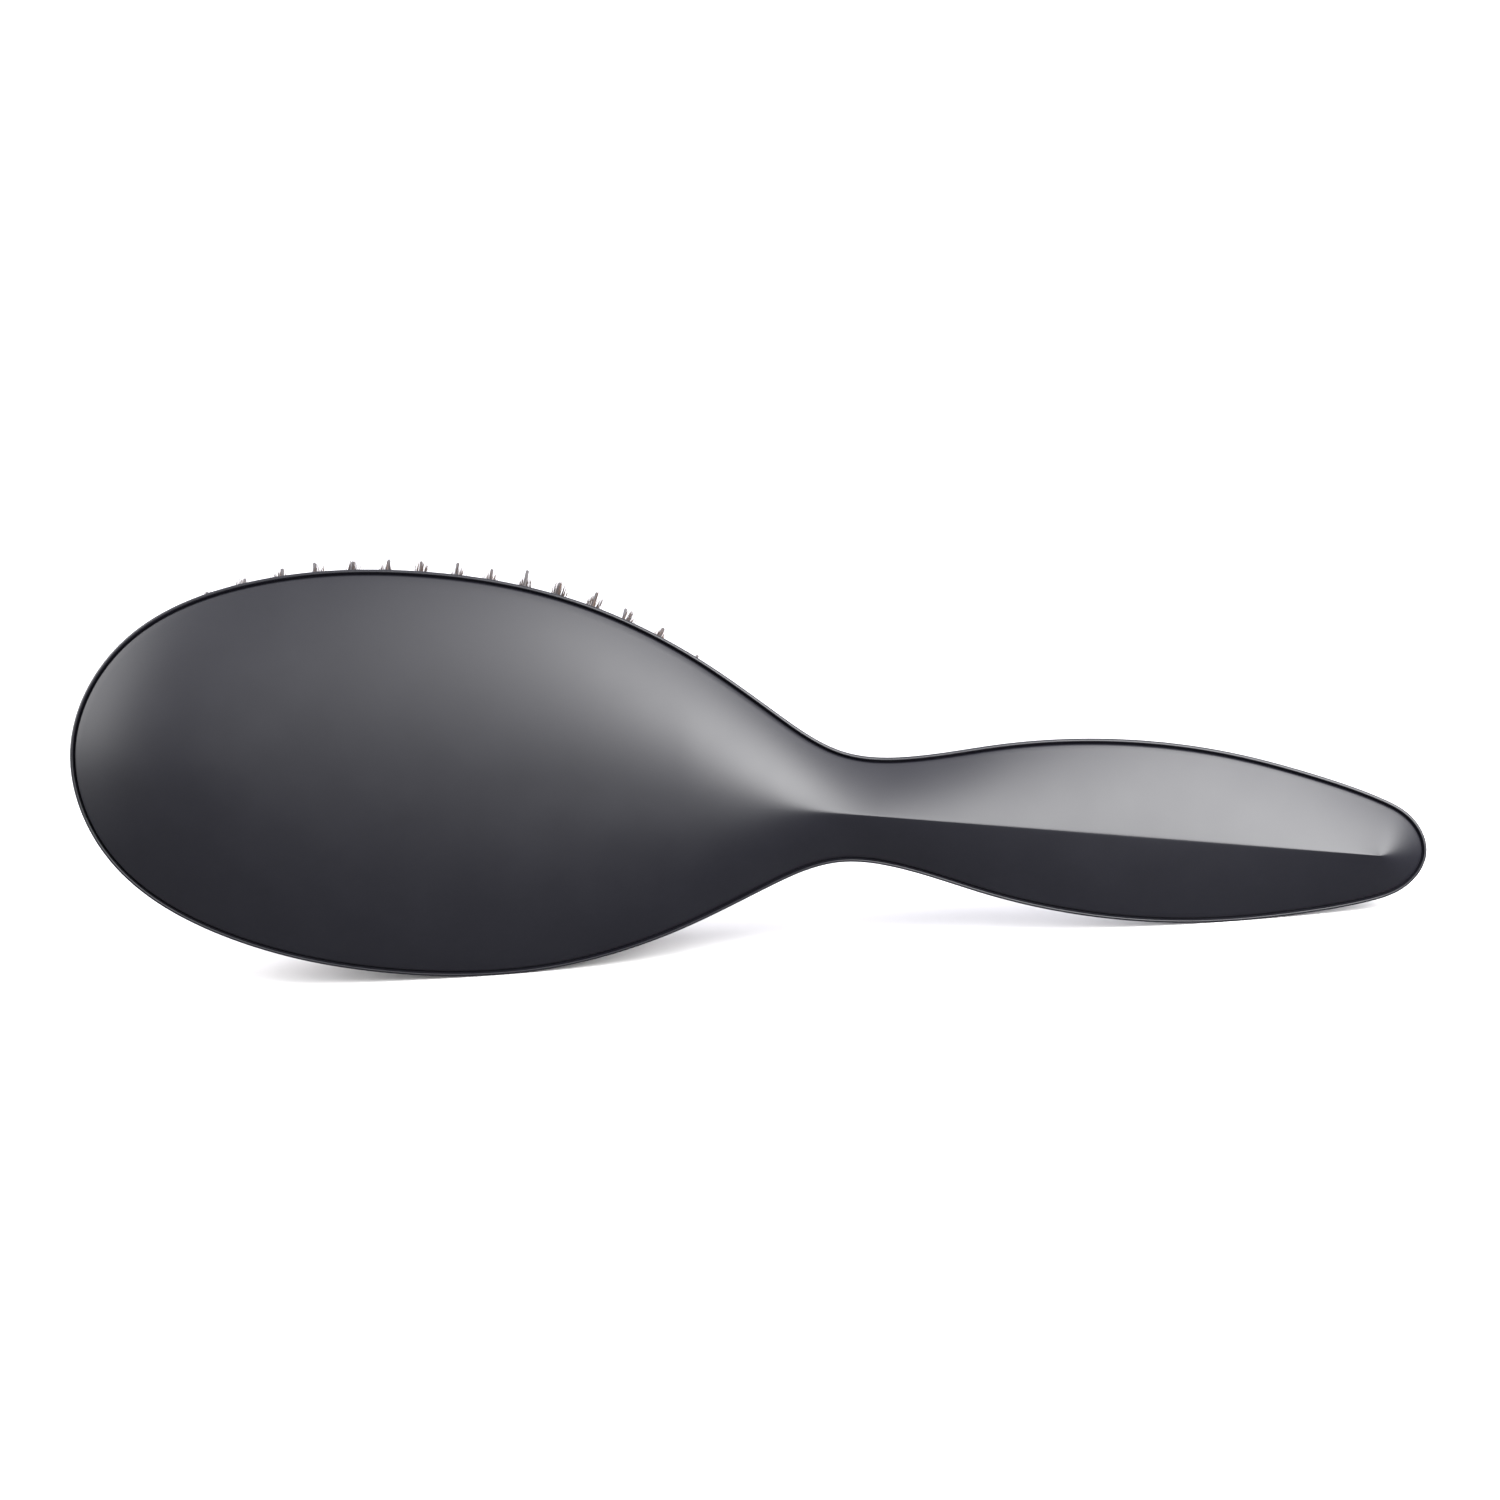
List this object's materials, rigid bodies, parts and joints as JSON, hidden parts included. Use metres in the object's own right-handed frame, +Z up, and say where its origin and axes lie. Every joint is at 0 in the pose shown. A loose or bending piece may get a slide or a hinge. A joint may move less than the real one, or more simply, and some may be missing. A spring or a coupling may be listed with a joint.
{
  "type": "oval cushion hair brush",
  "caption": "Oval pneumatic cushion hair brush with a creased handle and mixed bristle and nylon tufts, resting on its side edge; the cushion springs back when pressed.",
  "frame": {"origin": "middle of the footprint of the bounding box, on the surface that the brush rests on", "axes": "+X along the brush towards the handle's end, +Z up, -Y the way the back faces. The brush rests on its long side edge: its axis falls 8.8 degrees towards the handle, and its back leans 0.7 degrees"},
  "size_m": [0.2302, 0.0418, 0.072],
  "materials": {
    "satin_black_abs": "satin black moulded ABS, fine even grain",
    "cushion_rubber": "smooth matt brick-red rubber",
    "inner_plastic": "matt dark grey polypropylene",
    "boar_bristle": "natural boar bristle, dark brown to blond mix",
    "clear_nylon": "translucent grey nylon filament"
  },
  "bodies": {
    "root": {"back_shell": "satin_black_abs", "front_shell": "satin_black_abs", "cushion": "cushion_rubber", "cushion_clamp_ring": "inner_plastic", "chamber_plate": "inner_plastic"},
    "tuft_ring_5": {"boar_tufts_ring_5": "boar_bristle", "nylon_quills_ring_5": "clear_nylon", "tuft_plugs_ring_5": "inner_plastic"},
    "tuft_ring_1": {"boar_tufts_ring_1": "boar_bristle", "nylon_quills_ring_1": "clear_nylon", "tuft_plugs_ring_1": "inner_plastic"},
    "tuft_ring_2": {"boar_tufts_ring_2": "boar_bristle", "nylon_quills_ring_2": "clear_nylon", "tuft_plugs_ring_2": "inner_plastic"},
    "tuft_ring_3": {"boar_tufts_ring_3": "boar_bristle", "nylon_quills_ring_3": "clear_nylon", "tuft_plugs_ring_3": "inner_plastic"},
    "tuft_ring_4": {"boar_tufts_ring_4": "boar_bristle", "nylon_quills_ring_4": "clear_nylon", "tuft_plugs_ring_4": "inner_plastic"}
  },
  "joints": [
    {"name": "cushion_press", "type": "slide", "parent": "root", "child": "tuft_ring_5", "axis": [0.0019, -0.9999, 0.0121], "range_m": [0, 0.00341], "stiffness_N_per_m": 400, "deforming": ["cushion"]},
    {"name": "ring_1_press", "type": "slide", "parent": "root", "child": "tuft_ring_1", "axis": [0.0019, -0.9999, 0.0121], "range_m": [0, 0.00091]},
    {"name": "ring_2_press", "type": "slide", "parent": "root", "child": "tuft_ring_2", "axis": [0.0019, -0.9999, 0.0121], "range_m": [0, 0.00208]},
    {"name": "ring_3_press", "type": "slide", "parent": "root", "child": "tuft_ring_3", "axis": [0.0019, -0.9999, 0.0121], "range_m": [0, 0.00284]},
    {"name": "ring_4_press", "type": "slide", "parent": "root", "child": "tuft_ring_4", "axis": [0.0019, -0.9999, 0.0121], "range_m": [0, 0.00325]}
  ],
  "couplings": [
    {"joint": "ring_1_press", "follows": "cushion_press", "ratio": 0.2667},
    {"joint": "ring_2_press", "follows": "cushion_press", "ratio": 0.60984},
    {"joint": "ring_3_press", "follows": "cushion_press", "ratio": 0.8317},
    {"joint": "ring_4_press", "follows": "cushion_press", "ratio": 0.95348}
  ]
}
